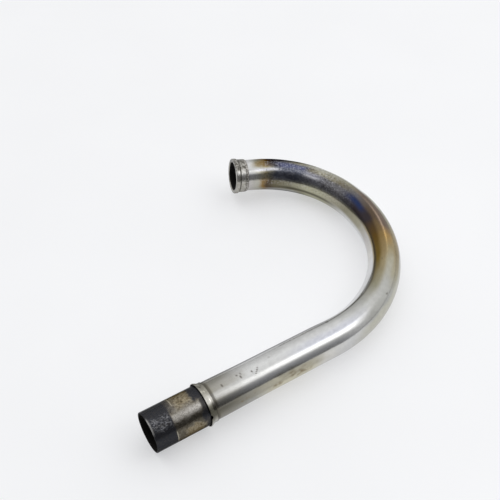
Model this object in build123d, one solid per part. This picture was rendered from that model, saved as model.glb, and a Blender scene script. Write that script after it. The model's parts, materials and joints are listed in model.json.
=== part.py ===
from build123d import *
from math import cos, radians, sin
import os

# All sizes in millimetres. The header lies on its side, as it would come to rest.
tube_d = 42.0
tube_wall = 1.5
tail_run = 228.0        # straight muffler end, mouth to first bend
first_bend_r = 163.0    # centreline radius
first_bend_deg = 98.0
second_bend_r = 118.0
second_bend_deg = 64.5
bend_twist_deg = 7.0    # the second bend climbs out of the plane of the first
head_run = 32.0         # last bend to the mouth of the collar

spigot_swell = 1.4      # muffler end, expanded this far past the plain tube all round
spigot_len = 60.0
shoulder_len = 6.5      # from the spigot down to the seat of the ring
seat_swell = 0.5        # the same as spigot_swell, where the ring grips the tube
seat_len = 5.5
taper_len = 53.0        # from the seat down to the plain tube

rim_wall = 2.7          # rounded rim of the head collar, measured out from the tube's skin
rim_len = 5.4
rim_round = 1.3
groove_wall = 0.6
groove_len = 1.4
band_wall = 1.3
band_len = 7.2
band_round = 0.6
mouth_lip = 0.5         # the mouth is this much tighter than the tube's bore all round
mouth_round = 0.8
socket_len = 6.0        # the tube goes this far into the collar

weld_len = 3.6
weld_crown = 0.6        # height of the bead above a straight fillet

ring_set = 0.7          # foot of the shoulder to the stretch of the ring that grips the tube
ring_len = 8.5
ring_land = 3.3         # that stretch
ring_wall = 0.9
ring_flare = 2.9        # the open edge stands this far off its seat
nick_depth = 1.6        # dent in the flared edge
nick_width = 5.0
nick_deg = 163.0        # angle round the tube, from its inner side over the top

tube_r = tube_d / 2
bore_r = tube_r - tube_wall
spigot_r = tube_r + spigot_swell
seat_r = tube_r + seat_swell
ring_edge_r = seat_r + ring_flare
rim_r = tube_r + rim_wall
groove_r = tube_r + groove_wall
band_r = tube_r + band_wall
mouth_r = bore_r - mouth_lip
collar_len = rim_len + groove_len + band_len
tube_end = collar_len - socket_len
seat_at = spigot_len + shoulder_len
taper_end = seat_at + seat_len + taper_len
ring_at = seat_at + ring_set + ring_land - ring_len


def along(tangent, inward, radius, deg):
    # Step along an arc that starts on a tangent and curves towards an inward direction.
    turn = radians(deg)
    return tangent * (radius * sin(turn)) + inward * (radius * (1 - cos(turn)))


def turned(tangent, inward, deg):
    return tangent * cos(radians(deg)) + inward * sin(radians(deg))


up = Vector(0, 0, 1)
tail_dir = Vector(1, 0, 0)
tail_mouth = Vector(0, 0, 0)
first_in = Vector(0, 1, 0)
bend_start = tail_mouth + tail_dir * tail_run
bend_middle = bend_start + along(tail_dir, first_in, first_bend_r, first_bend_deg)
middle_dir = turned(tail_dir, first_in, first_bend_deg)
second_in = turned(up.cross(middle_dir), up, bend_twist_deg)
bend_end = bend_middle + along(middle_dir, second_in, second_bend_r, second_bend_deg)
head_dir = turned(middle_dir, second_in, second_bend_deg)
head_mouth = bend_end + head_dir * head_run


def on_axis(solid, mouth, inward):
    # Places a solid of revolution, drawn from the mouth along +X, on the tube's axis.
    side = up.cross(inward)
    return Plane(mouth, x_dir=inward, z_dir=inward.cross(side)) * solid


def header_tube():
    stations = [
        (0, spigot_r), (spigot_len, spigot_r), (seat_at, seat_r), (seat_at + seat_len, seat_r),
        (taper_end, tube_r), (tail_run, tube_r)]
    bore = [(x, r - tube_wall) for x, r in reversed(stations)]
    tail = revolve(make_face(Polyline(*stations, *bore, close=True)), Axis.X)
    first = TangentArc(bend_start, bend_middle, tangent=tail_dir)
    second = TangentArc(bend_middle, bend_end, tangent=middle_dir)
    head = Line(bend_end, head_mouth - head_dir * tube_end)
    section = Plane(bend_start, x_dir=first_in, z_dir=tail_dir)
    wall = section * (Circle(tube_r) - Circle(bore_r))
    return tail + sweep(wall, path=Wire([first, second, head]))


def rings_of(solid, radius):
    return [e for e in solid.edges().filter_by(GeomType.CIRCLE) if abs(e.radius - radius) < 0.01]


def head_collar():
    groove_at = rim_len + groove_len
    outline = Polyline(
        (0, mouth_r), (0, rim_r), (rim_len, rim_r), (rim_len, groove_r), (groove_at, groove_r),
        (groove_at, band_r), (collar_len, band_r), (collar_len, tube_r), (tube_end, tube_r),
        (tube_end, mouth_r), close=True)
    collar = revolve(make_face(outline), Axis.X)
    for radius, rounding in ((rim_r, rim_round), (band_r, band_round)):
        collar = fillet(rings_of(collar, radius), rounding)
    mouth_edge = [e for e in rings_of(collar, mouth_r) if abs(e.center().X) < 0.01]
    collar = fillet(mouth_edge, mouth_round)
    return on_axis(collar, head_mouth, -head_dir)


def collar_weld():
    top = band_r - band_round
    toe = collar_len + weld_len
    middle = ((collar_len + toe) / 2, (top + tube_r) / 2 + weld_crown)
    crown = ThreePointArc((collar_len, top), middle, (toe, tube_r))
    sides = Polyline((toe, tube_r), (collar_len, tube_r), (collar_len, top))
    bead = revolve(make_face(Wire([crown, *sides.edges()])), Axis.X)
    return on_axis(bead, head_mouth, -head_dir)


def stop_ring():
    flare = ring_len - ring_land
    grip_r = seat_r + ring_wall
    edge_r = ring_edge_r - ring_wall
    inner = Spline((0, edge_r), (flare, seat_r), tangents=((1, -0.25), (1, 0)))
    outer = Spline((flare, grip_r), (0, ring_edge_r), tangents=((-1, 0), (-1, 0.25)))
    land = Polyline((flare, seat_r), (ring_len, seat_r), (ring_len, grip_r), (flare, grip_r))
    edge = Line((0, ring_edge_r), (0, edge_r))
    profile = make_face(Wire([inner, *land.edges(), outer, edge]))
    band = on_axis(revolve(profile, Axis.X), tail_mouth + tail_dir * ring_at, tail_dir)
    outward = turned(first_in, up, nick_deg)
    spot = Plane(tail_mouth + tail_dir * ring_at + outward * ring_edge_r, x_dir=tail_dir, z_dir=outward)
    nick = spot * extrude(Ellipse(nick_depth, nick_width / 2), 4, both=True)
    return band - nick


def rest_slopes(solids):
    # The header lies on the ring and on the bend, with its centre of mass over the line between the two.
    weights = [solid.volume for solid in solids]
    moment = Vector(0, 0, 0)
    for solid, weight in zip(solids, weights):
        moment += solid.center(CenterOf.MASS) * weight
    ring = tail_mouth + tail_dir * ring_at
    to_mass = moment / sum(weights) - ring
    low_deg = 0.0
    high_deg = first_bend_deg
    while high_deg - low_deg > 1e-6:
        touch_deg = (low_deg + high_deg) / 2
        to_touch = bend_start + along(tail_dir, first_in, first_bend_r, touch_deg) - ring
        if to_mass.X * to_touch.Y < to_mass.Y * to_touch.X:
            low_deg = touch_deg
        else:
            high_deg = touch_deg
    # The floor holds both points and follows the bend where it touches.
    tangent = turned(tail_dir, first_in, touch_deg)
    climb = ring_edge_r - tube_r
    det = to_touch.X * tangent.Y - to_touch.Y * tangent.X
    return -climb * tangent.Y / det, climb * tangent.X / det


pieces = {
    "header_tube": header_tube(),
    "head_collar": head_collar(),
    "collar_weld": collar_weld(),
    "stop_ring": stop_ring(),
}

slope_x, slope_y = rest_slopes(list(pieces.values()))
lying = Plane((0, 0, 0), x_dir=(1, 0, slope_x), z_dir=(-slope_x, -slope_y, 1))
placed = {}
for name, solid in pieces.items():
    placed[name] = lying * solid
boxes = [solid.bounding_box() for solid in placed.values()]
low = Vector(min(b.min.X for b in boxes), min(b.min.Y for b in boxes), min(b.min.Z for b in boxes))
high = Vector(max(b.max.X for b in boxes), max(b.max.Y for b in boxes), max(b.max.Z for b in boxes))
shift = Pos(-(low.X + high.X) / 2, -(low.Y + high.Y) / 2, -low.Z)

os.makedirs("parts", exist_ok=True)
for name, solid in placed.items():
    export_step(shift * solid, f"parts/{name}.step")
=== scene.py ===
import json
import math
import bpy
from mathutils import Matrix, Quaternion, Vector, noise


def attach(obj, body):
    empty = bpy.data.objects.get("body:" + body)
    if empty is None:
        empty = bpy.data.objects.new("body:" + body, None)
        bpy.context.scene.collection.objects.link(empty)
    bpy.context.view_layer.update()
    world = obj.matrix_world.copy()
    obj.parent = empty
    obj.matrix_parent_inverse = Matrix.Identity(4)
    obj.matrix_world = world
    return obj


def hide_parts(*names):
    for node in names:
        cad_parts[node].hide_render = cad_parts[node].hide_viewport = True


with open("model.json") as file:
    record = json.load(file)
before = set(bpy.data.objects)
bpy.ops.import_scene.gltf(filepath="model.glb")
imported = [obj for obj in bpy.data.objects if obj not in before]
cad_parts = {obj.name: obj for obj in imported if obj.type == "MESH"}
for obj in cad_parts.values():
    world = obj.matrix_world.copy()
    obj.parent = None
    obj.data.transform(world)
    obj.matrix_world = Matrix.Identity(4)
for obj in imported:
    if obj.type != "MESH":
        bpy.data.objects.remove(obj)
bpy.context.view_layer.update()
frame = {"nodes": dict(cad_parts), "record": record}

mm = 0.001
print("frame loaded:", ", ".join(sorted(frame["nodes"])))


# Small helpers

def clamped(x):
    return min(max(x, 0.0), 1.0)


def smooth(low, high, x):
    # 0 at low, 1 at high, eased in between; low may be the larger of the two
    t = clamped((x - low) / (high - low))
    return t * t * (3 - 2 * t)


def eased(start, stop, before, after, x):
    return before + (after - before) * smooth(start, stop, x)


def between(low, high, soft, x):
    return smooth(low - soft, low + soft, x) * (1 - smooth(high - soft, high + soft, x))


def readOff(table, x):
    # value at x in a table of (x, value)
    for (x0, y0), (x1, y1) in zip(table, table[1:]):
        if x <= x1:
            return y0 + (y1 - y0) * clamped((x - x0) / (x1 - x0))
    return table[-1][1]


def grain(x, y, z):
    return noise.noise(Vector((x, y, z)))


def turnTo(ahead, inward, angle):
    return ahead * math.cos(angle) + inward * math.sin(angle)


def mountOf(name):
    found = next(m for m in frame["record"]["mounts"] if m["name"] == name)
    return Vector(found["pos_m"]), Vector(found["axis"]).normalized()


# Turned and rolled skins: a closed outline of (distance, radius) carried round a centre line

def rounded(corners, steps=5):
    # corners are (distance, radius, rounding)
    outline = []
    for i, (x, r, rounding) in enumerate(corners):
        here = Vector((x, r))
        if rounding <= 0:
            outline.append((x, r))
            continue
        before = (Vector(corners[i - 1][:2]) - here).normalized()
        after = (Vector(corners[(i + 1) % len(corners)][:2]) - here).normalized()
        start, stop = here + before * rounding, here + after * rounding
        for k in range(steps + 1):
            t = k / steps
            p = start * (1 - t) ** 2 + here * 2 * t * (1 - t) + stop * t ** 2
            outline.append((p.x, p.y))
    return outline


def filled(outline, step):
    # adds points so that no stretch of a closed outline is longer than step
    full = []
    for i, (x, r) in enumerate(outline):
        nextX, nextR = outline[(i + 1) % len(outline)]
        dx, dr = nextX - x, nextR - r
        count = max(1, math.ceil(math.hypot(dx, dr) / step))
        full += [(x + dx * k / count, r + dr * k / count) for k in range(count)]
    return full


def signedVolume(mesh):
    mesh.calc_loop_triangles()
    spots = [v.co for v in mesh.vertices]
    corners = [t.vertices for t in mesh.loop_triangles]
    return sum(spots[a].dot(spots[b].cross(spots[c])) for a, b, c in corners)


def carried(name, outline, place, sides, shape, paint):
    # shape moves a point by (distance, radius); paint gives named values to store on it
    points, values = [], {}
    for x, r in outline:
        for j in range(sides):
            turn = 2 * math.pi * j / sides
            deg = math.degrees(turn)
            dx, dr = shape(x, r, deg)
            centre, inward, over = place(x + dx)
            points.append(centre + turnTo(inward, over, turn) * (r + dr))
            for key, value in paint(x, r, deg).items():
                values.setdefault(key, []).append(value)
    rows = len(outline)
    faces = []
    for i in range(rows):
        for j in range(sides):
            a, b = i * sides, ((i + 1) % rows) * sides
            k = (j + 1) % sides
            faces.append((a + j, a + k, b + k, b + j))
    mesh = bpy.data.meshes.new(name)
    mesh.from_pydata(points, [], faces)
    for key, numbers in values.items():
        mesh.attributes.new(key, "FLOAT", "POINT").data.foreach_set("value", numbers)
    mesh.polygons.foreach_set("use_smooth", [True] * len(faces))
    mesh.update()
    if signedVolume(mesh) < 0:
        mesh.flip_normals()
    piece = bpy.data.objects.new(name, mesh)
    bpy.context.scene.collection.objects.link(piece)
    return piece


def dress(piece, node, finish):
    piece.data.materials.append(finish)
    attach(piece, "root")
    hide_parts(node)
    print("made %s: %d faces" % (piece.name, len(piece.data.polygons)))


# Shader helpers

def newFinish(name):
    finish = bpy.data.materials.new(name)
    finish.use_nodes = True
    tree = finish.node_tree
    tree.nodes.clear()
    return finish, tree


def feed(tree, socket, value):
    if isinstance(value, bpy.types.NodeSocket):
        tree.links.new(value, socket)
    else:
        socket.default_value = value


def add(tree, kind, values=None, **settings):
    node = tree.nodes.new(kind)
    for key, value in settings.items():
        setattr(node, key, value)
    for key, value in (values or {}).items():
        feed(tree, node.inputs[key], value)
    return node


def stored(tree, name):
    return add(tree, "ShaderNodeAttribute", attribute_name=name).outputs["Fac"]


def objectSpot(tree):
    return add(tree, "ShaderNodeTexCoord").outputs["Object"]


def sums(tree, operation, a, b, clamp=False):
    return add(tree, "ShaderNodeMath", {0: a, 1: b}, operation=operation, use_clamp=clamp).outputs[0]


def times(tree, a, b, clamp=False):
    return sums(tree, "MULTIPLY", a, b, clamp)


def larger(tree, a, b, clamp=False):
    return sums(tree, "MAXIMUM", a, b, clamp)


def ranged(tree, value, low, high, toLow=0.0, toHigh=1.0):
    return add(tree, "ShaderNodeMapRange", {0: value, 1: low, 2: high, 3: toLow, 4: toHigh}).outputs[0]


def mixed(tree, amount, a, b, blend="MIX"):
    node = add(tree, "ShaderNodeMix", data_type="RGBA", blend_type=blend)
    for socket, value in zip([s for s in node.inputs if s.enabled], (amount, a, b)):
        feed(tree, socket, value)
    return next(s for s in node.outputs if s.enabled)


def stained(tree, colour, amount, tint, strength=1.0):
    # lays a plain tint over a colour
    if strength != 1:
        amount = times(tree, amount, strength)
    return mixed(tree, amount, colour, (*tint, 1))


def ramp(tree, value, stops):
    node = add(tree, "ShaderNodeValToRGB", {"Fac": value})
    row = node.color_ramp.elements
    row.remove(row[1])
    for i, (spot, colour) in enumerate(stops):
        element = row.new(spot) if i else row[0]
        element.position = spot
        element.color = (*colour, 1.0)
    return node.outputs["Color"]


def cloud(tree, where, scale, detail=4.0, rough=0.55):
    return add(tree, "ShaderNodeTexNoise", {
        "Vector": where, "Scale": scale, "Detail": detail, "Roughness": rough}).outputs["Fac"]


def closeFinish(tree, colour, metal, rough, bumps, strength, distance, edgeTone=(0.7, 0.7, 0.7, 1)):
    # edgeTone is how bright the metal stays at a glancing angle
    normal = add(tree, "ShaderNodeBump", {"Strength": strength, "Distance": distance, "Height": bumps})
    shader = add(tree, "ShaderNodeBsdfPrincipled", {
        "Base Color": colour, "Metallic": metal, "Roughness": rough, "Specular Tint": edgeTone,
        "Normal": normal.outputs[0]})
    add(tree, "ShaderNodeOutputMaterial", {"Surface": shader.outputs[0]})


# Header tube. Places on it are mm from the muffler mouth, and degrees from the inner side over the top.

noStart = -200      # a patch from here has no start
allAlong, allRound = (noStart, 900, 10), (noStart, 600, 10)

tube = dict(
    outerR=21.0 * mm,
    wall=1.5 * mm,
    tailRun=228.0 * mm,
    firstBendR=163.0 * mm,
    firstBendDeg=98.0,
    secondBendR=118.0 * mm,
    secondBendDeg=64.5,
    bendTwistDeg=7.0,
    headRun=32.0 * mm,
    spigotR=22.4 * mm,
    spigotLen=60.0 * mm,
    seatR=21.5 * mm,
    seatFrom=66.5 * mm,
    seatTo=72.0 * mm,
    taperTo=125.0 * mm,
    inCollar=8.0 * mm,      # the tube stops this far behind the mouth of the collar
    lipRound=0.45 * mm,
    lipSteps=5,
    sides=144,
    skinStep=1.5 * mm,
    boreStep=5.0 * mm,
    wobble=0.05 * mm,
    wobbleLen=45 * mm,
    bendOval=0.10 * mm,
    ovalFade=20 * mm,
    # the bending pushed the inner wall in: from, to and fade, depth before and after a place, fade in degrees
    flatAlong=(232 * mm, 450 * mm, 24 * mm),
    flatDepth=(300 * mm, 370 * mm, 1.0 * mm, 1.75 * mm),
    flatFade=(-23, 10),

    # heat tints, some painted reflections among them, then dirt, wear, painted shade, painted reflections and
    # painted highlights
    tint=dict(
        steel=(0.58, 0.58, 0.57),
        # painted bluish reflection of the sky, next to the highlight
        bluishSkyReflection=(0.555, 0.562, 0.605),
        white=(0.90, 0.90, 0.89),
        bright=(0.74, 0.74, 0.74),
        silver=(0.60, 0.60, 0.595),
        clean=(0.68, 0.665, 0.625),
        grey=(0.48, 0.48, 0.46),
        dull=(0.40, 0.40, 0.375),
        cream=(0.50, 0.49, 0.42),
        khaki=(0.44, 0.43, 0.31),
        warm=(0.64, 0.605, 0.47),
        pale=(0.52, 0.50, 0.48),
        straw=(0.40, 0.335, 0.195),
        wheat=(0.28, 0.225, 0.125),
        gold=(0.30, 0.195, 0.075),
        honey=(0.22, 0.145, 0.055),
        drab=(0.23, 0.21, 0.145),
        bronze=(0.215, 0.175, 0.09),
        amber=(0.16, 0.108, 0.022),
        umber=(0.10, 0.058, 0.014),
        brown=(0.095, 0.068, 0.045),
        rust=(0.135, 0.10, 0.075),
        purple=(0.036, 0.029, 0.032),
        plum=(0.055, 0.052, 0.060),
        blue=(0.019, 0.032, 0.088),
        indigo=(0.090, 0.102, 0.19),
        slate=(0.115, 0.112, 0.118),
        lilac=(0.14, 0.15, 0.195),
        haze=(0.27, 0.27, 0.31),
        olive=(0.16, 0.14, 0.090),
        moss=(0.26, 0.245, 0.175),
        sage=(0.36, 0.34, 0.26),
        glint=(0.74, 0.735, 0.77),
        paleScale=(0.42, 0.42, 0.44),
        darkScale=(0.03, 0.028, 0.03),
        # film, with a painted dark reflection low on the straight run
        film=(0.30, 0.28, 0.22),
        shadow=(0.27, 0.275, 0.275),
        # painted dark reflection lines, and painted shade at the ring's back edge
        darkReflectionAndShade=(0.035, 0.030, 0.020),
        rustStain=(0.17, 0.12, 0.055),
        fleck=(0.06, 0.048, 0.036),
        # painted highlight
        rubbed=(0.46, 0.44, 0.41),
        # painted dark reflection
        burnt=(0.06, 0.052, 0.036),
        soot=(0.030, 0.031, 0.036),
        # scuffs, with a painted highlight
        scuffAndHighlight=(0.36, 0.36, 0.38),
        score=(0.46, 0.42, 0.33),
        # painted highlight on the mouth's edge
        lip=(0.55, 0.54, 0.52),
        bore=(0.012, 0.011, 0.010),
    ),
    # where each heat tint sits, on six sides of the tube
    rows=dict(
        onFace=[
            (205, "steel"), (240, "grey"), (280, "dull"), (316, "drab"), (338, "bronze"), (362, "amber"),
            (405, "umber"), (434, "purple"), (470, "purple"), (488, "plum"), (503, "slate"), (532, "slate"),
            (556, "haze"), (566, "haze"), (580, "lilac"), (612, "lilac"), (621, "drab"), (630, "straw"),
            (640, "cream"), (650, "steel")],
        onTop=[
            (240, "steel"), (280, "dull"), (320, "moss"), (362, "wheat"), (400, "honey"), (430, "brown"),
            (452, "brown"), (482, "slate"), (518, "olive"), (545, "sage"), (562, "olive"), (574, "indigo"),
            (604, "indigo"), (614, "purple"), (622, "brown"), (630, "honey"), (640, "wheat"), (650, "steel")],
        outside=[
            (150, "steel"), (195, "bluishSkyReflection"), (250, "bluishSkyReflection"), (285, "grey"), (325, "dull"), (362, "sage"),
            (384, "wheat"), (400, "gold"), (415, "rust"), (482, "rust"), (505, "moss"), (560, "cream"),
            (580, "sage"), (600, "slate"), (615, "purple"), (625, "umber"), (632, "honey"), (640, "moss"),
            (650, "steel")],
        farSide=[
            (255, "steel"), (282, "dull"), (318, "dull"), (340, "sage"), (375, "wheat"), (400, "wheat"),
            (440, "moss"), (472, "sage"), (495, "white"), (548, "white"), (565, "olive"), (590, "purple"),
            (622, "purple"), (632, "umber"), (642, "steel")],
        beneath=[
            (70, "dull"), (115, "dull"), (140, "warm"), (185, "warm"), (205, "clean"), (240, "silver"),
            (275, "cream"), (350, "cream"), (385, "silver"), (410, "clean"), (470, "bright"), (550, "bright"),
            (575, "sage"), (640, "dull")],
        inside=[
            (225, "silver"), (262, "bright"), (350, "bright"), (385, "clean"), (415, "pale"), (440, "sage"),
            (480, "moss"), (505, "sage"), (535, "khaki"), (562, "khaki"), (585, "moss"), (610, "olive"),
            (621, "brown"), (630, "gold"), (638, "cream"), (650, "pale")]),
    # degrees over which a row takes over from the one before it
    rowFrom=dict(outside=(85, 106), farSide=(112, 127), beneath=(144, 156)),
    onTopFrom=66,
    onTopFull=(596, 612, 81, 74),       # the row on top is full at 81 degrees, towards the head at 74
    # lower edge of the tint on the inner side of the bend, and how it fades below and above that edge
    tintEdge=[
        (215, 49), (240, 51), (262, 59), (300, 64), (340, 59.5), (380, 51), (425, 42), (475, 37.5),
        (520, 31), (600, 27), (640, 27), (652, 32)],
    fadeBelow=(300, 400, -4, -12),
    fadeAbove=(520, 560, 2, 9),

    # stained and worn places: from, to and fade in mm, from, to and fade in degrees, strength
    patch=dict(
        clearUnder=((noStart, 503, 25), (noStart, -3, 11), 1.0),
        clearHead=((575, 628, 10), (noStart, -20, 8), 0.7),
        # painted dark reflection of the bend's far arm, on the inner side of the bend
        bendDarkReflection=((250, 420, 22), (0, 5, 2.5), 1.0),        # in degrees from the tint's lower edge
        halo=((352, 432, 16), (-9, 1, 4), 1.0),             # also from that edge
        # painted dark reflection of the shadowed floor, low under the head end
        headDarkReflection=((512, 606, 24), (-14, -2, 4), 1.0),
        blued=((456, 489, 14), (56, 76, 9), 0.9),
        scaly=(allAlong, (4, 100, 9), 0.9),
        scalyLess=(allAlong, (noStart, 24, 6), 0.35),
        bendGlint=((548, 570, 6), (53, 62, 4), 0.6),
        headGlint=((608, 646, 7), (56, 65, 3.5), 1.0),
        bareEnd=((noStart, 65.5, 1.5), allRound, 1.0),
        sootMouth=((noStart, 23.5, 0.7), allRound, 1.0),
        sootTop=((noStart, 28, 3), (40, 100, 8), 0.75),
        ringSoot=((57, 66, 1.2), allRound, 0.85),
        ringSootTop=((51, 66, 1.5), (30, 103, 6), 1.0),
        # soot next to the ring, with the painted dark reflection band
        ringSootAndDarkReflection=((53, 66, 2), (138, 168, 6), 1.0),
        # darker strip low on the underside next to the ring
        ringUndersideDark=((48, 62, 2), (199, 260, 4), 1.0),
        giltTop=((32, 50, 4), (48, 100, 10), 1.0),
        giltLow=((34, 54, 4), (160, 202, 6), 1.0),
        giltBack=((27, 55, 5), (210, 600, 5), 1.0),
        giltInner=((27, 55, 5), (noStart, 38, 4), 1.0),
        # painted highlight along the top of the bare end
        rubbed=((24, 57, 1.2), (111, 129, 7), 1.0),
        # painted dark reflection band below the painted highlight
        burnt=(allAlong, (135, 158, 7), 1.0),
        # darker low on the tube near the mouth
        darkLowNearMouth=((25, 33, 2.5), (150, 182, 6), 0.8),
        # scuffs on the soot, gathered where the highlight falls: partly painted highlight
        scuffed=((2, 22, 3), (98, 132, 9), 1.0),
        scoredTop=((27, 900, 1), (40, 84, 6), 1.0),
        scoredLow=((noStart, 26, 1), (154, 190, 5), 1.0),
        # painted highlight on the mouth's edge
        lip=((noStart, 1.1, 0.6), (88, 134, 8), 1.0),
        # film low on the straight run, partly a painted dark reflection
        film=((68, 205, 26), (148, 176, 7), 1.0),
        ringFilm=((noStart, 77.5, 6.5), allRound, 0.95),
        ringFilmWide=((noStart, 101, 27), allRound, 0.7),
        # the film is left off where the highlight falls
        filmGapAtHighlight=(allAlong, (106, 126, 5), 0.55),
        # painted shade and dirt at the ring's back edge
        ringLine=((69.0, 73.2, 1.1), allRound, 0.97),
        # dirt and painted shade next to the ring
        ringDirtAndShade=((noStart, 101, 27), allRound, 1.0),
        shade=((noStart, 241.5, 16.5), (10, 51, 7), 0.8),
        rust=((92, 190, 15), (160, 186, 8), 1.0),
    ),
    highlightBrighter=(30, 48, 0.7, 1.0),      # the painted highlight stripe is brighter towards the ring
    pastRing=(68, 72),
    # how dark the tube is painted next to the ring, by degrees: dirt and painted shade, least where the
    # highlight falls
    ringDirtAndShade=[
        (0, 0.55), (55, 0.58), (85, 0.44), (103, 0.28), (109, 0.06), (123, 0.05), (140, 0.5), (158, 1.0),
        (168, 0.8), (180, 0.45), (220, 0.4), (360, 0.5)],
    # dark marks: mm, degrees, length round the tube, width, lean
    marks=[
        (86, 99, 1.6, 0.9, -0.2), (109, 97, 3.4, 0.7, -0.25), (105, 90, 1.6, 0.6, 0.2),
        (127, 106, 3.8, 0.7, -0.9), (122, 101, 1.4, 0.7, -0.3), (313, 132, 1.2, 1.0, 0.0),
        (361, 80, 1.0, 0.9, 0.0), (364, 87, 0.9, 0.7, 0.0), (412, 98, 0.8, 0.8, 0.0),
        (205, 96, 1.2, 0.4, 0.2), (230, 62, 2.4, 0.4, 0.1), (148, 88, 1.6, 0.4, 0.3)],
    markReach=(4, 8),       # no mark goes further than this, along and round

    # what is laid over the tint before and after the speckle: stored mask, tint, strength
    inTint=[
        ("clear", "bright", 1.0), ("blued", "blue", 1.0), ("halo", "straw", 0.75), ("glint", "glint", 1.0)],
    # laid over: painted shade, painted dark reflection lines, dirt and painted shade at the ring, rust stains
    # and marks
    overTint=[
        ("shade", "shadow", 0.9), ("line", "darkReflectionAndShade", 0.72), ("ringLine", "darkReflectionAndShade", 0.72),
        ("rust", "rustStain", 0.75), ("mark", "fleck", 0.9)],
    darkReflectionStrength=0.7,
    scoredStrength=0.7,
    lipHighlightStrength=0.6,
    scoreAt=(30.0, 23.6),
    scoreWidth=0.5,
    # bare end, by how grimy it is
    wornRamp=[(0.33, (0.07, 0.062, 0.048)), (0.44, (0.15, 0.133, 0.105)), (0.62, (0.235, 0.215, 0.18))],
    giltRamp=[(0.30, (0.06, 0.046, 0.028)), (0.40, (0.18, 0.146, 0.092)), (0.62, (0.30, 0.257, 0.18))],
    # shares of the tube's length over which the scale and the dull finish set in, and where both stop
    scaleFrom=(0.70, 0.79),
    dullFrom=(0.82, 0.87),
    hotStop=(0.965, 0.93),
    fineScale=900.0,
    gritScale=620.0,
    grimeScale=420.0,
    blotchScale=140.0,
    drawnScale=6.0,
    drawnStretch=(0.05, 9.0),           # along, round
    rough=(0.14, 0.22),
    bareRougher=0.06,
    sootRougher=0.04,
    boreRough=0.9,
    sootDulls=0.3,
    bumps=(0.10, 0.45),                 # on the tint, on the bare end
    bumpStrength=0.35,
    bumpDepth=0.4 * mm,
    edgeTone=(0.92, 0.24),
)


def layRoute():
    first, second = math.radians(tube["firstBendDeg"]), math.radians(tube["secondBendDeg"])
    twist = math.radians(tube["bendTwistDeg"])
    spigotMid, tailOut = mountOf("muffler_spigot")
    headOut = mountOf("port_rim")[1]
    tailDir = -tailOut
    tailMouth = spigotMid + tailOut * tube["spigotLen"] / 2
    # the head end's direction, split along the tail, the inward and the upward direction, gives the roll
    part = Vector((math.cos(first), math.sin(first), 0)) * math.cos(second)
    part += Vector((-math.sin(first), math.cos(first), 0)) * math.sin(second) * math.cos(twist)
    lift = math.sin(second) * math.sin(twist)
    rest = headOut - tailDir * part.x
    inward = ((rest * part.y - tailDir.cross(rest) * lift) / (part.y ** 2 + lift ** 2)).normalized()
    return dict(mouth=tailMouth, ahead=tailDir, inward=inward, over=tailDir.cross(inward),
                first=first, second=second, twist=twist)


route = layRoute()
firstArc = tube["firstBendR"] * route["first"]
secondArc = tube["secondBendR"] * route["second"]
tubeLength = tube["tailRun"] + firstArc + secondArc + tube["headRun"]


def alongTube(s):
    # centre, inward side and upper side of the tube at a distance from the muffler mouth
    ahead, inward, over = route["ahead"], route["inward"], route["over"]
    if s <= tube["tailRun"]:
        return route["mouth"] + ahead * s, inward, over
    bendR, angle = tube["firstBendR"], min((s - tube["tailRun"]) / tube["firstBendR"], route["first"])
    spot = route["mouth"] + ahead * (tube["tailRun"] + bendR * math.sin(angle))
    spot += inward * bendR * (1 - math.cos(angle))
    ahead, inward = turnTo(ahead, inward, angle), turnTo(inward, -ahead, angle)
    left = s - tube["tailRun"] - firstArc
    if left <= 0:
        return spot, inward, over
    bendR, angle = tube["secondBendR"], min(left / tube["secondBendR"], route["second"])
    towards = turnTo(inward, over, route["twist"])
    across = ahead.cross(towards)
    spot += ahead * bendR * math.sin(angle) + towards * bendR * (1 - math.cos(angle))
    ahead, towards = turnTo(ahead, towards, angle), turnTo(towards, -ahead, angle)
    inward = turnTo(towards, -across, route["twist"])
    over = turnTo(across, towards, route["twist"])
    return spot + ahead * max(0.0, left - secondArc), inward, over


def fromHead(u):
    return alongTube(tubeLength - u)


print("route laid: %.1f mm from mouth to mouth" % (tubeLength / mm))


def skinRadius(s):
    if s <= tube["spigotLen"]:
        return tube["spigotR"]
    if s <= tube["seatFrom"]:
        return eased(tube["spigotLen"], tube["seatFrom"], tube["spigotR"], tube["seatR"], s)
    return eased(tube["seatTo"], tube["taperTo"], tube["seatR"], tube["outerR"], s)


def edgeRounds(s, fromR, toR, out):
    # both rounded corners of a sheet edge, from one skin over the edge to the other; out is 1 or -1
    lip, side = tube["lipRound"], 1 if fromR > toR else -1
    angles = [math.radians(90 * k / tube["lipSteps"]) for k in range(1, tube["lipSteps"])]
    base = s - out * lip
    points = [(base + out * lip * math.sin(a), fromR - side * lip + side * lip * math.cos(a)) for a in angles]
    points += [(base + out * lip * math.cos(a), toR + side * lip - side * lip * math.sin(a)) for a in angles]
    return points


def tubeOutline():
    stop = tubeLength - tube["inCollar"]
    lip, wall = tube["lipRound"], tube["wall"]
    run = stop - 2 * lip
    skinSteps, boreSteps = math.ceil(run / tube["skinStep"]), math.ceil(run / tube["boreStep"])
    outside = [lip + run * k / skinSteps for k in range(skinSteps + 1)]
    inside = [stop - lip - run * k / boreSteps for k in range(boreSteps + 1)]
    outline = [(s, skinRadius(s)) for s in outside]
    outline += edgeRounds(stop, skinRadius(stop), skinRadius(stop) - wall, 1)
    outline += [(s, skinRadius(s) - wall) for s in inside]
    outline += edgeRounds(0.0, skinRadius(0.0) - wall, skinRadius(0.0), -1)
    return outline


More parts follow.
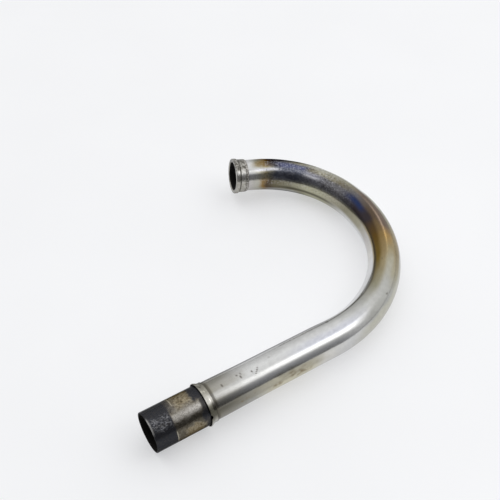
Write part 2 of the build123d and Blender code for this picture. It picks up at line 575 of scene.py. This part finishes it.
def tubeShape(s, r, deg):
    turn = math.radians(deg)
    bend = between(tube["tailRun"], tubeLength - tube["headRun"], tube["ovalFade"], s)
    dr = -tube["bendOval"] * bend * math.cos(2 * turn)
    dr += tube["wobble"] * grain(s / tube["wobbleLen"], 1.3 * math.cos(turn), 1.3 * math.sin(turn))
    fromEdge = min(deg, 360 - deg) - readOff(tube["tintEdge"], s / mm)
    pushed = 1 - smooth(*tube["flatFade"], fromEdge)
    dr -= eased(*tube["flatDepth"], s) * pushed * between(*tube["flatAlong"], s)
    return 0.0, dr


def patch(name, x, deg):
    span, turn, strength = tube["patch"][name]
    amount = between(*span, x)
    return strength * amount * between(*turn, deg) if amount else 0.0


def markAt(x, deg):
    dark = 0.0
    reachAlong, reachRound = tube["markReach"]
    for spot, at, length, width, lean in tube["marks"]:
        across = math.radians(deg - at) * tube["outerR"] / mm
        along = x - spot - lean * across
        if abs(along) < reachAlong and abs(across) < reachRound:
            ragged = 1 + 0.22 * grain(x * 0.9, across * 0.9, spot)
            far = math.hypot(along / width, across / length) * ragged
            dark = max(dark, 1 - smooth(0.6, 1.3, far))
    return dark


def heatPaint(x, y, z, deg, drift, ragged):
    # which row of tints shows, and the painted dark reflection lines, the blue patch, the halo and the
    # painted glints in them
    sway = deg + 5 * grain(x / 22 + 7, 2 * y, 2 * z)
    signed = deg if deg < 250 else deg - 360     # the underside counts down from the inner side
    fromEdge = signed - (readOff(tube["tintEdge"], x) + 2.0 * grain(x / 30 + 2, 0.3, 0.8))
    rowFrom = tube["rowFrom"]
    return dict(
        onTop=smooth(tube["onTopFrom"], eased(*tube["onTopFull"], x), sway),
        outside=smooth(*rowFrom["outside"], sway),
        farSide=smooth(*rowFrom["farSide"], sway),
        beneath=smooth(*rowFrom["beneath"], sway),
        inside=1 - smooth(eased(*tube["fadeBelow"], x), eased(*tube["fadeAbove"], x), fromEdge),
        clear=max(patch("clearUnder", x, signed), patch("clearHead", x, signed)),
        # painted dark reflection lines
        line=max(patch("bendDarkReflection", x, fromEdge), patch("headDarkReflection", x, signed)),
        halo=patch("halo", x, fromEdge),
        blued=patch("blued", x + drift + 2 * ragged, sway),
        scaly=0.1 + patch("scaly", x, signed) * (1 - patch("scalyLess", x, signed)),
        glint=max(patch("bendGlint", x, sway), patch("headGlint", x, sway)))


def bareEndPaint(x, deg, ragged, blots):
    # soot at the mouth and next to the ring with a painted dark reflection and a darker underside strip
    # there, gilt patches, a painted highlight stripe with a painted dark reflection band below it, scuffs
    # partly painted as highlight, scores and a painted highlight on the lip
    worn, lean = x + ragged, deg + 4 * ragged
    gilt = max(patch("giltTop", worn, lean), patch("giltLow", worn, lean)) * (0.85 + 0.4 * blots)
    giltBehind = max(patch("giltBack", worn, deg), patch("giltInner", worn, deg)) * smooth(-0.35, 0.35, blots)
    return dict(
        bareEnd=patch("bareEnd", x, deg),
        soot=max(patch("sootMouth", x - 0.35 * ragged, deg), patch("sootTop", worn, lean)),
        nearRing=max(
            patch("ringSoot", x + 0.5 * ragged, deg), patch("ringSootTop", worn, lean),
            patch("ringSootAndDarkReflection", worn, lean), patch("ringUndersideDark", x, deg)),
        gilt=clamped(max(gilt, giltBehind)),
        rubbed=patch("rubbed", x + 0.5 * ragged, deg + 1.5 * ragged) * eased(*tube["highlightBrighter"], x),
        burnt=max(patch("burnt", x, lean), patch("darkLowNearMouth", worn, lean)),
        scuffed=max(patch("scuffed", x, lean) * (0.75 + 0.8 * blots), 0.0),
        scored=patch("scoredTop", x, deg) + patch("scoredLow", x, deg),
        lip=patch("lip", x, deg))


def straightPaint(x, deg, ragged, blots):
    # film with a painted dark reflection and rust low on the straight run, painted shade on its inner side,
    # dirt and painted shade next to the ring
    film = patch("film", x + 16 * blots, deg + 5 * blots) * (0.8 + 0.35 * blots)
    ringFilm = max(patch("ringFilm", x, deg), patch("ringFilmWide", x + 8 * blots, deg))
    # dirt and painted shade next to the ring, by degrees
    dirt = readOff(tube["ringDirtAndShade"], deg) * patch("ringDirtAndShade", x + 6 * blots, deg)
    return dict(
        film=clamped(max(film, ringFilm * (1 - patch("filmGapAtHighlight", x, deg)))),
        ringLine=max(patch("ringLine", x, deg), dirt * smooth(*tube["pastRing"], x)),
        shade=patch("shade", x, deg),
        rust=patch("rust", x, deg + 6 * blots) * smooth(-0.05, 0.5, blots + 0.3 * ragged))


def tubePaint(s, r, deg):
    turn = math.radians(deg)
    x, y, z = s / mm, math.cos(turn), math.sin(turn)
    drift = 9 * grain(x / 45, 1.4 * y, 1.4 * z) + 4 * grain(x / 12, 3.5 * y, 3.5 * z)
    ragged = 2.0 * grain(x / 7, 3 * y, 3 * z) + 1.6 * grain(x / 2.6, 8 * y, 8 * z)
    blots = grain(x / 25, 2.5 * y, 2.5 * z) + 0.6 * grain(x / 9, 6 * y, 6 * z)
    bore = 1.0 if r < skinRadius(s) - tube["wall"] * 0.6 else 0.0
    return dict(
        warmth=(x + drift) / (tubeLength / mm), alongMm=x, inner=y, over=z, bore=bore, mark=markAt(x, deg),
        **heatPaint(x, y, z, deg, drift, ragged), **bareEndPaint(x, deg, ragged, blots),
        **straightPaint(x, deg, ragged, blots))


def drawnLines(tree):
    # faint streaks along the tube
    along, around = tube["drawnStretch"]
    where = add(tree, "ShaderNodeCombineXYZ", {
        "X": times(tree, stored(tree, "alongMm"), along),
        "Y": times(tree, stored(tree, "inner"), around),
        "Z": times(tree, stored(tree, "over"), around)}).outputs[0]
    return cloud(tree, where, tube["drawnScale"])


def heatColour(tree, warmth, fine, grit, blotch, drawn):
    tint = tube["tint"]

    def tinted(side):
        return ramp(tree, warmth, [(spot * mm / tubeLength, tint[name]) for spot, name in tube["rows"][side]])

    colour = tinted("onFace")
    for side in ("onTop", "outside", "farSide", "beneath", "inside"):
        colour = mixed(tree, stored(tree, side), colour, tinted(side))
    for mask, name, strength in tube["inTint"]:
        colour = stained(tree, colour, stored(tree, mask), tint[name], strength)
    uneven = times(
        tree, ranged(tree, blotch, 0.35, 0.65, 0.95, 1.03), ranged(tree, drawn, 0.3, 0.7, 0.92, 1.05))
    colour = mixed(tree, 1.0, colour, uneven, "MULTIPLY")
    # speckle in the scale where it was hottest
    hot = times(tree, ranged(tree, warmth, *tube["scaleFrom"]), ranged(tree, warmth, *tube["hotStop"]))
    hot = times(tree, hot, stored(tree, "scaly"))
    paleSpecks = times(tree, ranged(tree, grit, 0.53, 0.66, 0.0, 0.75), hot)
    darkSpecks = times(tree, ranged(tree, grit, 0.46, 0.35, 0.0, 0.8), hot)
    colour = stained(tree, colour, paleSpecks, tint["paleScale"])
    colour = stained(tree, colour, darkSpecks, tint["darkScale"])
    # film, partly a painted dark reflection
    film = times(tree, stored(tree, "film"), ranged(tree, fine, 0.30, 0.70, 0.85, 1.0))
    colour = stained(tree, colour, film, tint["film"])
    for mask, name, strength in tube["overTint"]:
        colour = stained(tree, colour, stored(tree, mask), tint[name], strength)
    return colour


def sootOnBareEnd(tree, grime):
    # soot, with a painted dark reflection and a darker underside strip next to the ring
    soot = larger(tree, stored(tree, "soot"), stored(tree, "nearRing"))
    return times(tree, soot, ranged(tree, grime, 0.34, 0.5, 0.8, 1.0))


def bareEndColour(tree, grit, grime, soot):
    # browned metal with gilt patches, a painted highlight on top and a painted dark reflection band below it,
    # sooty at the mouth and next to the ring
    tint = tube["tint"]
    gilt = ramp(tree, grime, tube["giltRamp"])
    colour = mixed(tree, stored(tree, "gilt"), ramp(tree, grime, tube["wornRamp"]), gilt)
    # painted highlight, speckled
    rubbed = times(tree, stored(tree, "rubbed"), ranged(tree, grit, 0.36, 0.54, 0.55, 1.0))
    colour = stained(tree, colour, rubbed, tint["rubbed"])
    # painted dark reflection band
    colour = stained(tree, colour, stored(tree, "burnt"), tint["burnt"], tube["darkReflectionStrength"])
    # scuffs partly painted as highlight
    scuffAndHighlightSpecks = times(tree, stored(tree, "scuffed"), ranged(tree, grit, 0.44, 0.64, 0.0, 0.8))
    colour = mixed(tree, soot, colour, stained(tree, (*tint["soot"], 1), scuffAndHighlightSpecks, tint["scuffAndHighlight"]))
    along = stored(tree, "alongMm")
    scores = [add(tree, "ShaderNodeMath", {0: along, 1: spot, 2: tube["scoreWidth"]}, operation="COMPARE")
              for spot in tube["scoreAt"]]
    scored = times(tree, larger(tree, *[s.outputs[0] for s in scores]), stored(tree, "scored"))
    colour = stained(tree, colour, scored, tint["score"], tube["scoredStrength"])
    # painted highlight on the mouth's edge
    return stained(tree, colour, stored(tree, "lip"), tint["lip"], tube["lipHighlightStrength"])


def tubeFinish():
    finish, tree = newFinish("heatTintedSteel")
    warmth, bare, bore = [stored(tree, name) for name in ("warmth", "bareEnd", "bore")]
    where = objectSpot(tree)
    fine = cloud(tree, where, tube["fineScale"])
    grit = cloud(tree, where, tube["gritScale"], 3.0)
    grime = cloud(tree, where, tube["grimeScale"])
    blotch = cloud(tree, where, tube["blotchScale"])
    drawn = drawnLines(tree)
    soot = sootOnBareEnd(tree, grime)
    colour = heatColour(tree, warmth, fine, grit, blotch, drawn)
    colour = mixed(tree, bare, colour, bareEndColour(tree, grit, grime, soot))
    colour = stained(tree, colour, bore, tube["tint"]["bore"])
    rough = ranged(tree, drawn, 0.3, 0.7, *tube["rough"])
    rough = sums(tree, "ADD", rough, times(tree, bare, tube["bareRougher"]))
    rough = sums(tree, "ADD", rough, times(tree, soot, tube["sootRougher"]))
    rough = larger(tree, rough, times(tree, bore, tube["boreRough"]), clamp=True)
    metal = sums(tree, "SUBTRACT", 1.0, larger(tree, bore, times(tree, soot, tube["sootDulls"])))
    bumps = times(tree, fine, ranged(tree, bare, 0.0, 1.0, *tube["bumps"]))
    dulled = times(tree, ranged(tree, warmth, *tube["dullFrom"]), ranged(tree, warmth, *tube["hotStop"]))
    dulled = larger(tree, larger(tree, dulled, bare), stored(tree, "shade"))
    edgeTone = ramp(tree, dulled, [(i, (tone,) * 3) for i, tone in enumerate(tube["edgeTone"])])
    closeFinish(tree, colour, metal, rough, bumps, tube["bumpStrength"], tube["bumpDepth"], edgeTone)
    return finish


headerTube = carried("headerTubeSkin", tubeOutline(), alongTube, tube["sides"], tubeShape, tubePaint)
dress(headerTube, "header_tube", tubeFinish())


# Head collar, measured from its mouth

collar = dict(
    rimR=23.7 * mm,
    rimLen=5.4 * mm,
    rimRound=1.3 * mm,
    grooveR=21.6 * mm,
    grooveLen=1.4 * mm,
    grooveRound=0.2 * mm,
    bandR=22.3 * mm,
    bandLen=7.2 * mm,
    bandRound=0.6 * mm,
    mouthR=19.0 * mm,
    mouthRound=0.8 * mm,
    socketR=21.02 * mm,
    sides=160,
    step=0.45 * mm,
    knocks=0.10 * mm,
    boreFrom=0.7 * mm,
    boreR=19.25 * mm,
    valleyFade=0.5 * mm,
    valleyR=(23.2 * mm, 22.0 * mm),
    dirtyBack=(11.0 * mm, 13.6 * mm),
    sootyDeg=(64, 165, 9),      # from, to, fade
    # painted highlight on the collar's rim
    highlightDeg=(40, 58, 8),
    steel=[(0.32, (0.31, 0.295, 0.255)), (0.50, (0.41, 0.395, 0.355)), (0.70, (0.50, 0.49, 0.455))],
    rubbed=(0.74, 0.73, 0.70),
    grime=(0.07, 0.064, 0.05),
    bore=(0.012, 0.011, 0.010),
    highlightStrength=0.8,
    backGrime=0.5,
    sootyGrime=0.85,
    # painted shade and grime in the groove
    grooveShadeAndGrime=0.8,
    grimeDulls=0.7,
    fineScale=1400.0,
    blotchScale=300.0,
    rough=(0.16, 0.27),
    boreRough=0.9,
    bumpStrength=0.2,
    bumpDepth=0.3 * mm,
)


def collarOutline():
    c = collar
    bandFrom = c["rimLen"] + c["grooveLen"]
    back = bandFrom + c["bandLen"]
    return filled(rounded([
        (0, c["mouthR"], c["mouthRound"]), (0, c["rimR"], c["rimRound"]),
        (c["rimLen"], c["rimR"], c["rimRound"]), (c["rimLen"], c["grooveR"], c["grooveRound"]),
        (bandFrom, c["grooveR"], c["grooveRound"]), (bandFrom, c["bandR"], c["bandRound"]),
        (back, c["bandR"], c["bandRound"]), (back, c["socketR"], 0),
        (tube["inCollar"], c["socketR"], 0), (tube["inCollar"], c["mouthR"], 0)]), c["step"])


def collarShape(u, r, deg):
    turn = math.radians(deg)
    worn = 1.0 if r > collar["socketR"] else 0.0
    y, z = math.cos(turn), math.sin(turn)
    uneven = grain(u / (4 * mm), 4 * y, 4 * z) + 0.25 * grain(u / (1.6 * mm), 11 * y, 11 * z)
    return 0.0, collar["knocks"] * uneven * worn


def collarPaint(u, r, deg):
    turn = math.radians(deg)
    y, z = math.cos(turn), math.sin(turn)
    groove = between(collar["rimLen"], collar["rimLen"] + collar["grooveLen"], collar["valleyFade"], u)
    around = deg + 12 * grain(u / (3 * mm), 5 * y, 5 * z)
    return dict(
        bore=1.0 if r < collar["boreR"] and u > collar["boreFrom"] else 0.0,
        # the groove, darkened by painted shade and grime
        valley=groove * smooth(*collar["valleyR"], r),
        back=smooth(*collar["dirtyBack"], u),
        sooty=between(*collar["sootyDeg"], around),
        # painted highlight on the rim
        rubbed=between(*collar["highlightDeg"], around))


def collarFinish():
    finish, tree = newFinish("wornTurnedSteel")
    where = objectSpot(tree)
    fine = cloud(tree, where, collar["fineScale"])
    blotch = cloud(tree, where, collar["blotchScale"])
    valley, bore = stored(tree, "valley"), stored(tree, "bore")
    # grime lies in patches; painted shade and grime darken all of the groove
    grime = larger(tree, valley, times(tree, stored(tree, "back"), collar["backGrime"]))
    grime = larger(tree, grime, times(tree, stored(tree, "sooty"), collar["sootyGrime"]))
    grime = times(tree, grime, ranged(tree, blotch, 0.68, 0.44))
    grime = larger(tree, grime, times(tree, valley, collar["grooveShadeAndGrime"]))
    colour = ramp(tree, blotch, collar["steel"])
    colour = stained(tree, colour, stored(tree, "rubbed"), collar["rubbed"], collar["highlightStrength"])
    colour = stained(tree, colour, grime, collar["grime"])
    colour = stained(tree, colour, bore, collar["bore"])
    rough = ranged(tree, fine, 0.3, 0.7, *collar["rough"])
    rough = larger(tree, rough, times(tree, bore, collar["boreRough"]))
    dulled = larger(tree, bore, times(tree, grime, collar["grimeDulls"]))
    metal = sums(tree, "SUBTRACT", 1.0, dulled, clamp=True)
    closeFinish(tree, colour, metal, rough, fine, collar["bumpStrength"], collar["bumpDepth"])
    return finish


headCollar = carried("headCollarTurned", collarOutline(), fromHead, collar["sides"], collarShape, collarPaint)
dress(headCollar, "head_collar", collarFinish())


# Weld bead behind the collar

weld = dict(
    start=14.0 * mm,
    length=3.6 * mm,
    topR=21.7 * mm,
    crown=0.6 * mm,
    footR=21.03 * mm,
    lift=0.02 * mm,         # keeps the bead off the faces of the collar and the tube
    ripples=62,
    rippleHeight=0.22 * mm,
    rippleCurl=0.035,
    rippleDrift=0.05,
    lumps=0.25 * mm,
    sides=372,
    rows=16,
    footRows=3,
    toeDirt=(0.62, 0.95),   # shares of the bead's length
    topDirt=(0.02, 0.2),
    steel=[(0.32, (0.10, 0.09, 0.08)), (0.48, (0.36, 0.34, 0.31)), (0.70, (0.56, 0.55, 0.52))],
    dirt=(0.05, 0.045, 0.04),
    fineScale=1500.0,
    blotchScale=520.0,
    rough=(0.20, 0.34),
    bumpStrength=0.3,
    bumpDepth=0.3 * mm,
)


def weldOutline():
    w = weld
    outline = []
    for k in range(w["rows"] + 1):
        t = k / w["rows"]
        r = w["topR"] + (tube["outerR"] + w["lift"] - w["topR"]) * t + 4 * w["crown"] * t * (1 - t)
        outline.append((w["start"] + w["lift"] + w["length"] * t, r))
    for k in range(1, w["footRows"]):
        outline.append((w["start"] + w["length"] * (1 - k / w["footRows"]), w["footR"]))
    outline.append((w["start"] + w["lift"], w["footR"]))
    return outline


def weldShape(u, r, deg):
    w = weld
    turn = math.radians(deg)
    y, z = math.cos(turn), math.sin(turn)
    t = (u - w["start"]) / w["length"]
    body = max(0.0, 4 * t * (1 - t)) if r > w["footR"] + w["lift"] / 2 else 0.0
    swirl = turn + w["rippleCurl"] * (2 * t - 1) ** 2 + w["rippleDrift"] * grain(3 * y, 3 * z, 0.4)
    dr = w["rippleHeight"] * (0.5 + 0.5 * math.cos(w["ripples"] * swirl)) * body
    dr += w["lumps"] * grain(u / (2.2 * mm), 9 * y, 9 * z) * body
    return 0.0, dr


def weldPaint(u, r, deg):
    t = (u - weld["start"]) / weld["length"]
    return dict(toe=smooth(*weld["toeDirt"], t) + 1 - smooth(*weld["topDirt"], t))


def weldFinish():
    finish, tree = newFinish("weldBeadSteel")
    where = objectSpot(tree)
    fine = cloud(tree, where, weld["fineScale"])
    blotch = cloud(tree, where, weld["blotchScale"])
    dirt = times(tree, stored(tree, "toe"), ranged(tree, blotch, 0.60, 0.44), clamp=True)
    colour = stained(tree, ramp(tree, blotch, weld["steel"]), dirt, weld["dirt"])
    rough = ranged(tree, fine, 0.3, 0.7, *weld["rough"])
    closeFinish(tree, colour, 1.0, rough, fine, weld["bumpStrength"], weld["bumpDepth"])
    return finish


collarWeld = carried("collarWeldBead", weldOutline(), fromHead, weld["sides"], weldShape, weldPaint)
dress(collarWeld, "collar_weld", weldFinish())


# Stop ring, measured from the muffler mouth

ring = dict(
    start=62.0 * mm,
    length=8.5 * mm,
    land=3.3 * mm,
    sheet=0.9 * mm,
    gripR=21.52 * mm,
    edgeR=24.4 * mm,
    flareStraight=0.55,     # the rest of the flare is an S curve
    nickDeg=163.0,
    nickDepth=1.6 * mm,
    nickWidth=5.0 * mm,
    nickReach=0.75,         # share of the ring's length that the nick pushes back
    wrinkleDeg=48.0,
    wrinkleWidthDeg=9.0,
    wrinkle=0.5 * mm,
    uneven=0.06 * mm,
    sides=240,
    steps=22,
    step=0.6 * mm,
    # painted light and shade on the tarnished sheet, by degrees from the inner side: highlight, floor
    # reflection and dark reflections
    paintedLightByDeg=[
        (0, 0.6), (30, 0.4), (45, 0.12), (55, 0.36), (95, 0.48), (108, 0.75), (116, 1.0), (125, 0.9),
        (135, 0.34), (145, 0.04), (165, 0.12), (175, 0.42), (187, 0.98), (205, 1.0), (360, 0.6)],
    shadedDeg=(36, 60, 6),    # painted shade at the back of the sheet: from, to, fade
    shadedBack=(0.55, 0.8),
    backEdge=(0.84, 0.97),
    sheetRamp=[
        (0.0, (0.05, 0.048, 0.034)), (0.3, (0.19, 0.18, 0.145)), (0.6, (0.38, 0.365, 0.32)),
        (1.0, (0.62, 0.605, 0.56))],
    # painted shade at the ring's back edge
    backEdgeShade=(0.06, 0.052, 0.042),
    backStrength=0.8,
    # painted shade inside the ring
    within=(0.015, 0.014, 0.013),
    fineScale=1200.0,
    blotchScale=260.0,
    rough=(0.15, 0.24),
    bumpStrength=0.12,
    bumpDepth=0.3 * mm,
)


def flare(t, inner):
    # radius along the ring, from its open edge to the stretch that grips the tube
    g = ring
    top = g["edgeR"] - g["sheet"] if inner else g["edgeR"]
    low = g["gripR"] if inner else g["gripR"] + g["sheet"]
    flared = g["length"] - g["land"]
    x = t * g["length"]
    if x >= flared:
        return low
    k = 1 - x / flared
    straight = g["flareStraight"]
    return low + (top - low) * (straight * k + (1 - straight) * k * k * (3 - 2 * k))


def ringOutline():
    shares = [k / ring["steps"] for k in range(ring["steps"] + 1)]
    outside = [(ring["start"] + ring["length"] * t, flare(t, False)) for t in shares]
    inside = [(ring["start"] + ring["length"] * t, flare(t, True)) for t in reversed(shares)]
    return filled(outside + inside, ring["step"])


def ringShape(s, r, deg):
    g = ring
    turn = math.radians(deg)
    t = (s - g["start"]) / g["length"]
    x = math.radians(deg - g["nickDeg"]) * g["edgeR"] / (g["nickWidth"] / 2)
    bite = g["nickDepth"] * math.sqrt(1 - x * x) if abs(x) < 1 else 0.0
    ds = bite * (1 - smooth(0.0, g["nickReach"], t))
    bump = math.exp(-((deg - g["wrinkleDeg"]) / g["wrinkleWidthDeg"]) ** 2)
    dr = -g["wrinkle"] * bump * (1 - t) * math.cos((deg - g["wrinkleDeg"]) * 0.6)
    dr += g["uneven"] * grain(s / (6 * mm), 3 * math.cos(turn), 3 * math.sin(turn)) * (1 - t)
    return ds, dr


def ringPaint(s, r, deg):
    t = (s - ring["start"]) / ring["length"]
    # painted light and shade by degrees: highlight, floor reflection and dark reflections
    clean = readOff(ring["paintedLightByDeg"], deg) + 0.05 * grain(t, deg / 6, 0.3)
    clean *= 1 - 0.7 * between(*ring["shadedDeg"], deg) * smooth(*ring["shadedBack"], t)
    return dict(
        # inside the sheet: painted shade
        within=1.0 if r < flare(t, False) - 0.5 * ring["sheet"] else 0.0,
        backEdge=smooth(*ring["backEdge"], t),
        clean=clean)


def ringFinish():
    finish, tree = newFinish("tarnishedSheet")
    where = objectSpot(tree)
    fine = cloud(tree, where, ring["fineScale"])
    blotch = cloud(tree, where, ring["blotchScale"])
    # the sheet's painted light and shade, broken up by blotches
    clean = times(tree, stored(tree, "clean"), ranged(tree, blotch, 0.3, 0.7, 0.8, 1.15))
    colour = ramp(tree, clean, ring["sheetRamp"])
    # painted shade at the ring's back edge
    colour = stained(tree, colour, stored(tree, "backEdge"), ring["backEdgeShade"], ring["backStrength"])
    colour = stained(tree, colour, stored(tree, "within"), ring["within"])
    rough = ranged(tree, fine, 0.3, 0.7, *ring["rough"])
    closeFinish(tree, colour, 1.0, rough, fine, ring["bumpStrength"], ring["bumpDepth"])
    return finish


stopRing = carried("stopRingSheet", ringOutline(), alongTube, ring["sides"], ringShape, ringPaint)
dress(stopRing, "stop_ring", ringFinish())


# Floor

floorSheet = dict(
    size=24.0,
    colour=(0.56, 0.563, 0.572),
    unevenness=0.975,       # the darkest places have this share of the colour
    rough=0.7,
    glow=0.45,
    glowColour=(0.985, 0.99, 1.0),
    cloudScale=5.0,
)


def layFloor():
    half = floorSheet["size"] / 2
    mesh = bpy.data.meshes.new("paleFloor")
    corners = [(-half, -half, 0), (half, -half, 0), (half, half, 0), (-half, half, 0)]
    mesh.from_pydata(corners, [], [(0, 1, 2, 3)])
    floor = bpy.data.objects.new("paleFloor", mesh)
    bpy.context.scene.collection.objects.link(floor)
    finish, tree = newFinish("paleFloor")
    shade = cloud(tree, objectSpot(tree), floorSheet["cloudScale"], 2.0)
    low = tuple(c * floorSheet["unevenness"] for c in floorSheet["colour"])
    colour = ramp(tree, shade, [(0.35, low), (0.65, floorSheet["colour"])])
    shader = add(tree, "ShaderNodeBsdfPrincipled", {
        "Base Color": colour, "Roughness": floorSheet["rough"],
        "Emission Color": (*floorSheet["glowColour"], 1), "Emission Strength": floorSheet["glow"]})
    add(tree, "ShaderNodeOutputMaterial", {"Surface": shader.outputs[0]})
    mesh.materials.append(finish)
    print("floor laid")


layFloor()


# Studio light: a soft box with a dimmer surround high on the right, a strip light on the far side,
# and a sky that is pale on the far side and dim on the near side

studio = dict(
    # name, azimuth, height, distance, size, slant, power
    lamps=[
        ("softBox", -49.5, 47.0, 1.5, (0.46, 0.54), 55.0, 0.76),
        ("softBoxSurround", -49.5, 47.0, 1.51, (0.80, 0.90), 55.0, 1.02),
        ("stripLight", 31.0, 32.0, 2.5, (0.30, 0.42), 0.0, 0.85)],
    nearAzimuth=-105.0,
    # brightness of the sky from the far side to the near side
    skyStops=[
        (0.00, 0.72), (0.05, 0.78), (0.08, 0.86), (0.16, 0.98), (0.26, 1.08), (0.45, 1.05), (0.55, 1.00),
        (0.68, 0.80), (0.72, 0.66), (0.76, 0.53), (0.80, 0.50), (0.83, 0.42), (0.86, 0.30), (0.89, 0.24),
        (0.91, 0.18), (1.00, 0.24)],
    skyTint=(1.06, 1.065, 1.075),
    dimTint=(0.97, 0.98, 1.03),
    dimBelow=0.45,
    lowBand=(0.0, 0.13, 0.5),       # the sky darkens towards the floor: from, to, brightness left
    # dim parts of the sky: azimuth, height, where the dimming starts and ends, brightness left
    dimParts=[(172.0, 0.0, 0.45, 0.85, 0.35), (-143.0, 46.0, 0.80, 0.97, 0.33)],
)


def towardsSky(azimuth, height):
    a, e = math.radians(azimuth), math.radians(height)
    return Vector((math.cos(a) * math.cos(e), math.sin(a) * math.cos(e), math.sin(e)))


def hangLight(name, azimuth, height, distance, size, slant, power):
    lamp = bpy.data.lights.new(name, "AREA")
    lamp.shape = "RECTANGLE"
    lamp.size, lamp.size_y = size
    lamp.energy = power
    box = bpy.data.objects.new(name, lamp)
    out = towardsSky(azimuth, height)
    box.location = out * distance
    turned = out.to_track_quat("Z", "Y") @ Quaternion((0, 0, 1), math.radians(slant))
    box.rotation_euler = turned.to_euler()
    bpy.context.scene.collection.objects.link(box)


def lightStudio():
    g = studio
    for lamp in g["lamps"]:
        hangLight(*lamp)
    world = bpy.data.worlds.new("studioSky")
    bpy.context.scene.world = world
    world.use_nodes = True
    tree = world.node_tree
    tree.nodes.clear()
    direction = add(tree, "ShaderNodeTexCoord").outputs["Generated"]

    def facing(azimuth, height):
        sides = {0: direction, 1: towardsSky(azimuth, height)}
        return add(tree, "ShaderNodeVectorMath", sides, operation="DOT_PRODUCT").outputs["Value"]

    stops = []
    for spot, level in g["skyStops"]:
        tint = g["skyTint"] if level > g["dimBelow"] else g["dimTint"]
        stops.append((spot, tuple(level * c for c in tint)))
    colour = ramp(tree, ranged(tree, facing(g["nearAzimuth"], 0), -1.0, 1.0), stops)
    low, high, left = g["lowBand"]
    upward = add(tree, "ShaderNodeSeparateXYZ", {0: direction}).outputs["Z"]
    level = ranged(tree, upward, low, high, left, 1.0)
    for azimuth, height, start, stop, left in g["dimParts"]:
        level = times(tree, level, ranged(tree, facing(azimuth, height), start, stop, 1.0, left))
    back = add(tree, "ShaderNodeBackground", {"Color": colour, "Strength": level})
    add(tree, "ShaderNodeOutputWorld", {"Surface": back.outputs[0]})
    bpy.context.scene.view_settings.view_transform = "Standard"
    print("studio lit")


lightStudio()


# Camera at the photograph's angle

shot = dict(
    location=(-0.34442, -0.56866, 0.71720),
    turnDeg=(45.0799, 0.4549, -32.2433),
    lens=56.563,
    sensor=36.0,
    nearest=0.01,
)


def setCamera():
    camera = bpy.data.objects.new("shotCamera", bpy.data.cameras.new("shotCamera"))
    camera.data.lens = shot["lens"]
    camera.data.sensor_width = shot["sensor"]
    camera.data.clip_start = shot["nearest"]
    camera.location = shot["location"]
    camera.rotation_euler = [math.radians(d) for d in shot["turnDeg"]]
    bpy.context.scene.collection.objects.link(camera)
    bpy.context.scene.camera = camera
    print("camera set")


setCamera()
